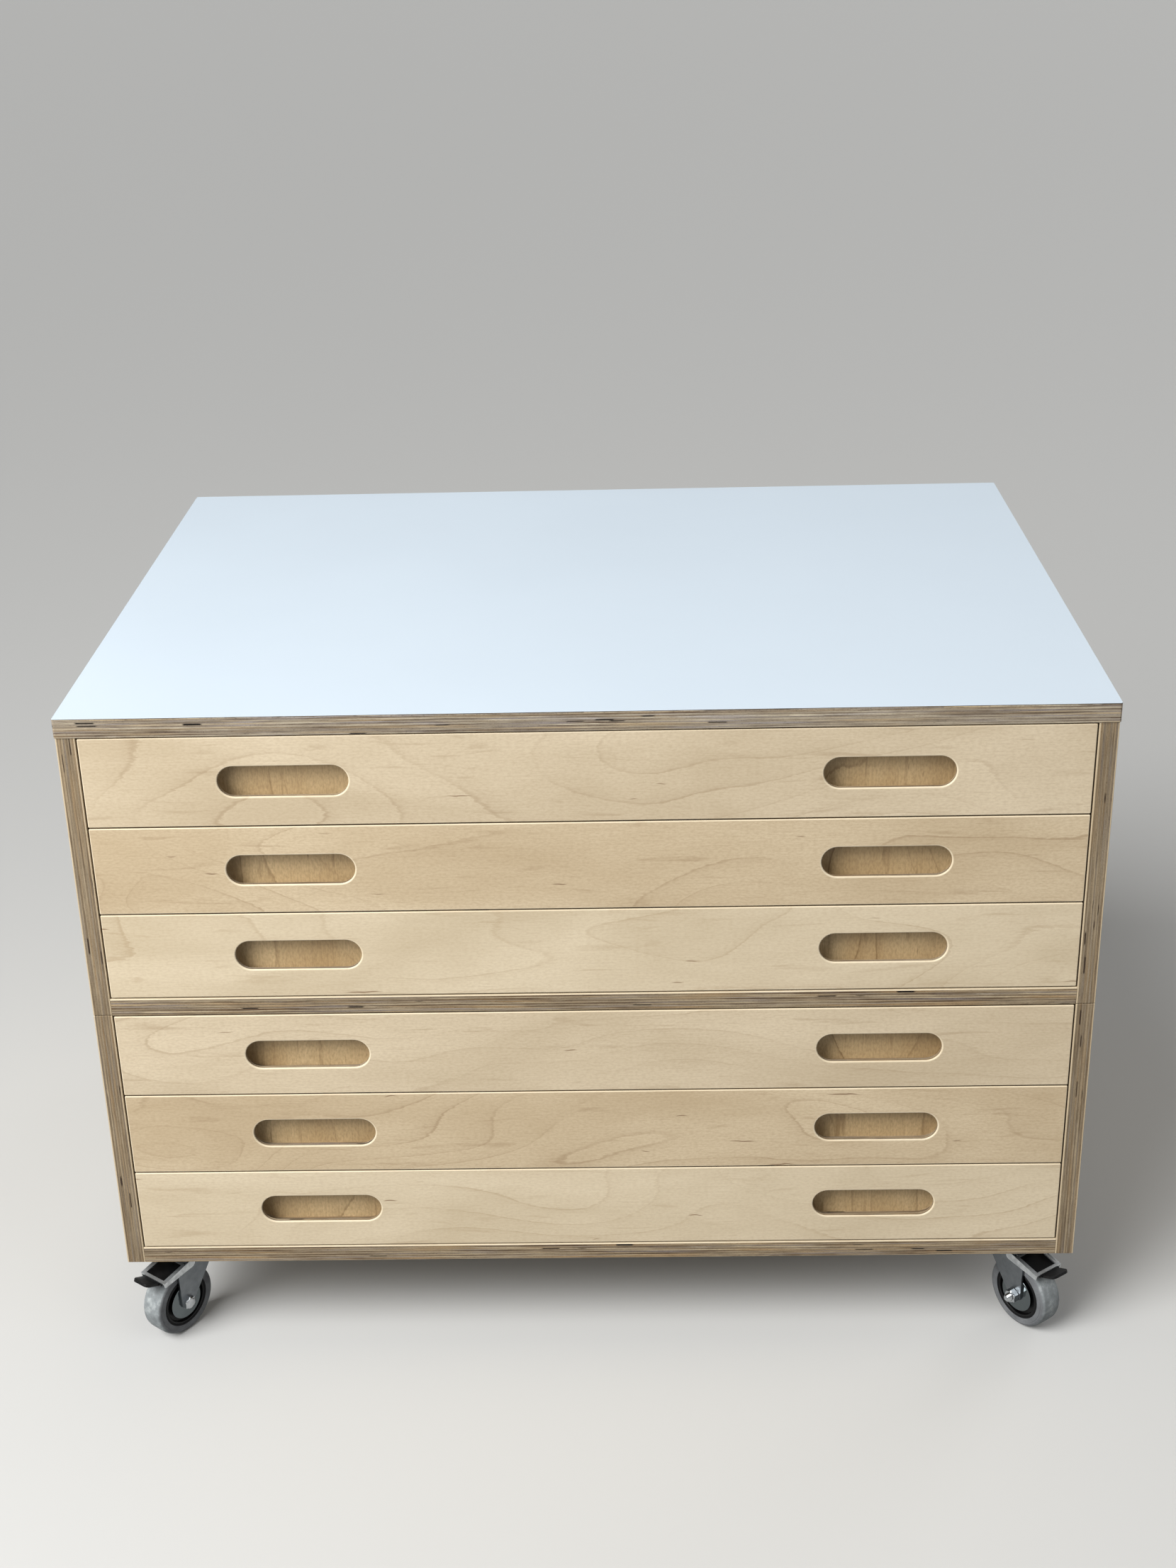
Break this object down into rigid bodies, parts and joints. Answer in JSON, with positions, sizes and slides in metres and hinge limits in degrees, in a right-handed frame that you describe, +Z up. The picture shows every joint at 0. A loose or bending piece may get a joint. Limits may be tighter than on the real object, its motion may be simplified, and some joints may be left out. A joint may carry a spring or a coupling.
{
  "type": "plan chest",
  "caption": "Low plywood plan chest of shallow full-width drawers with round-ended finger slots, in two stacked modules under a white top, standing on swivel castors.",
  "frame": {"origin": "on the floor under the middle of the chest", "axes": "+Z up, +X along the width, the drawers open towards -Y"},
  "size_m": [0.96, 0.7246, 0.7008],
  "materials": {
    "birch_ply": "clear satin lacquer",
    "white_laminate": "satin",
    "beech_dowel": "raw",
    "runner_steel": "zinc plated",
    "zinc_steel": "zinc plated",
    "grey_rubber": "matt",
    "black_plastic": "moulded"
  },
  "bodies": {
    "carcass": {"top_laminate": "white_laminate", "top_panel": "birch_ply", "upper_left_side": "birch_ply", "upper_right_side": "birch_ply", "upper_base": "birch_ply", "upper_back": "birch_ply", "lower_left_side": "birch_ply", "lower_right_side": "birch_ply", "lower_base": "birch_ply", "lower_back": "birch_ply", "carcass_dowels": "beech_dowel", "runner_outers": "runner_steel", "castor_plates": "zinc_steel", "castor_screws": "zinc_steel"},
    "drawer_1": {"drawer_1_front": "birch_ply", "drawer_1_box": "birch_ply", "drawer_1_runner_inner": "runner_steel"},
    "runner_1": {"drawer_1_runner_middle": "runner_steel"},
    "drawer_2": {"drawer_2_front": "birch_ply", "drawer_2_box": "birch_ply", "drawer_2_runner_inner": "runner_steel"},
    "runner_2": {"drawer_2_runner_middle": "runner_steel"},
    "drawer_3": {"drawer_3_front": "birch_ply", "drawer_3_box": "birch_ply", "drawer_3_runner_inner": "runner_steel"},
    "runner_3": {"drawer_3_runner_middle": "runner_steel"},
    "drawer_4": {"drawer_4_front": "birch_ply", "drawer_4_box": "birch_ply", "drawer_4_runner_inner": "runner_steel"},
    "runner_4": {"drawer_4_runner_middle": "runner_steel"},
    "drawer_5": {"drawer_5_front": "birch_ply", "drawer_5_box": "birch_ply", "drawer_5_runner_inner": "runner_steel"},
    "runner_5": {"drawer_5_runner_middle": "runner_steel"},
    "drawer_6": {"drawer_6_front": "birch_ply", "drawer_6_box": "birch_ply", "drawer_6_runner_inner": "runner_steel"},
    "runner_6": {"drawer_6_runner_middle": "runner_steel"},
    "front_left_castor": {"front_left_fork": "zinc_steel", "front_left_axle": "zinc_steel"},
    "front_left_wheel": {"front_left_wheel_hub": "black_plastic", "front_left_tyre": "grey_rubber"},
    "front_left_brake": {"front_left_brake_pedal": "zinc_steel", "front_left_brake_pad": "black_plastic"},
    "front_right_castor": {"front_right_fork": "zinc_steel", "front_right_axle": "zinc_steel"},
    "front_right_wheel": {"front_right_wheel_hub": "black_plastic", "front_right_tyre": "grey_rubber"},
    "front_right_brake": {"front_right_brake_pedal": "zinc_steel", "front_right_brake_pad": "black_plastic"},
    "rear_left_castor": {"rear_left_fork": "zinc_steel", "rear_left_axle": "zinc_steel"},
    "rear_left_wheel": {"rear_left_wheel_hub": "black_plastic", "rear_left_tyre": "grey_rubber"},
    "rear_right_castor": {"rear_right_fork": "zinc_steel", "rear_right_axle": "zinc_steel"},
    "rear_right_wheel": {"rear_right_wheel_hub": "black_plastic", "rear_right_tyre": "grey_rubber"}
  },
  "joints": [
    {"name": "drawer_1_slide", "type": "slide", "parent": "carcass", "child": "drawer_1", "axis": [0, -1, 0], "range_m": [0, 0.65]},
    {"name": "runner_1_slide", "type": "slide", "parent": "carcass", "child": "runner_1", "axis": [0, -1, 0], "range_m": [0, 0.325]},
    {"name": "drawer_2_slide", "type": "slide", "parent": "carcass", "child": "drawer_2", "axis": [0, -1, 0], "range_m": [0, 0.65]},
    {"name": "runner_2_slide", "type": "slide", "parent": "carcass", "child": "runner_2", "axis": [0, -1, 0], "range_m": [0, 0.325]},
    {"name": "drawer_3_slide", "type": "slide", "parent": "carcass", "child": "drawer_3", "axis": [0, -1, 0], "range_m": [0, 0.65]},
    {"name": "runner_3_slide", "type": "slide", "parent": "carcass", "child": "runner_3", "axis": [0, -1, 0], "range_m": [0, 0.325]},
    {"name": "drawer_4_slide", "type": "slide", "parent": "carcass", "child": "drawer_4", "axis": [0, -1, 0], "range_m": [0, 0.65]},
    {"name": "runner_4_slide", "type": "slide", "parent": "carcass", "child": "runner_4", "axis": [0, -1, 0], "range_m": [0, 0.325]},
    {"name": "drawer_5_slide", "type": "slide", "parent": "carcass", "child": "drawer_5", "axis": [0, -1, 0], "range_m": [0, 0.65]},
    {"name": "runner_5_slide", "type": "slide", "parent": "carcass", "child": "runner_5", "axis": [0, -1, 0], "range_m": [0, 0.325]},
    {"name": "drawer_6_slide", "type": "slide", "parent": "carcass", "child": "drawer_6", "axis": [0, -1, 0], "range_m": [0, 0.65]},
    {"name": "runner_6_slide", "type": "slide", "parent": "carcass", "child": "runner_6", "axis": [0, -1, 0], "range_m": [0, 0.325]},
    {"name": "front_left_swivel", "type": "hinge", "parent": "carcass", "child": "front_left_castor", "pos_m": [-0.422, -0.298, 0.102], "axis": [0, 0, 1], "continuous": true},
    {"name": "front_left_wheel_spin", "type": "hinge", "parent": "front_left_castor", "child": "front_left_wheel", "pos_m": [-0.44022, -0.32308, 0.0375], "axis": [0.809, -0.5878, 0], "continuous": true},
    {"name": "front_left_brake_press", "type": "hinge", "parent": "front_left_castor", "child": "front_left_brake", "pos_m": [-0.43493, -0.3158, 0.081], "axis": [0.809, -0.5878, 0], "range_deg": [0, 10]},
    {"name": "front_right_swivel", "type": "hinge", "parent": "carcass", "child": "front_right_castor", "pos_m": [0.422, -0.298, 0.102], "axis": [0, 0, 1], "continuous": true},
    {"name": "front_right_wheel_spin", "type": "hinge", "parent": "front_right_castor", "child": "front_right_wheel", "pos_m": [0.44022, -0.32308, 0.0375], "axis": [0.809, 0.5878, 0], "continuous": true},
    {"name": "front_right_brake_press", "type": "hinge", "parent": "front_right_castor", "child": "front_right_brake", "pos_m": [0.43493, -0.3158, 0.081], "axis": [0.809, 0.5878, 0], "range_deg": [0, 10]},
    {"name": "rear_left_swivel", "type": "hinge", "parent": "carcass", "child": "rear_left_castor", "pos_m": [-0.422, 0.298, 0.102], "axis": [0, 0, 1], "continuous": true},
    {"name": "rear_left_wheel_spin", "type": "hinge", "parent": "rear_left_castor", "child": "rear_left_wheel", "pos_m": [-0.44022, 0.32308, 0.0375], "axis": [-0.809, -0.5878, 0], "continuous": true},
    {"name": "rear_right_swivel", "type": "hinge", "parent": "carcass", "child": "rear_right_castor", "pos_m": [0.422, 0.298, 0.102], "axis": [0, 0, 1], "continuous": true},
    {"name": "rear_right_wheel_spin", "type": "hinge", "parent": "rear_right_castor", "child": "rear_right_wheel", "pos_m": [0.44022, 0.32308, 0.0375], "axis": [-0.809, 0.5878, 0], "continuous": true}
  ],
  "couplings": [
    {"joint": "runner_1_slide", "follows": "drawer_1_slide", "ratio": 0.5},
    {"joint": "runner_2_slide", "follows": "drawer_2_slide", "ratio": 0.5},
    {"joint": "runner_3_slide", "follows": "drawer_3_slide", "ratio": 0.5},
    {"joint": "runner_4_slide", "follows": "drawer_4_slide", "ratio": 0.5},
    {"joint": "runner_5_slide", "follows": "drawer_5_slide", "ratio": 0.5},
    {"joint": "runner_6_slide", "follows": "drawer_6_slide", "ratio": 0.5}
  ]
}
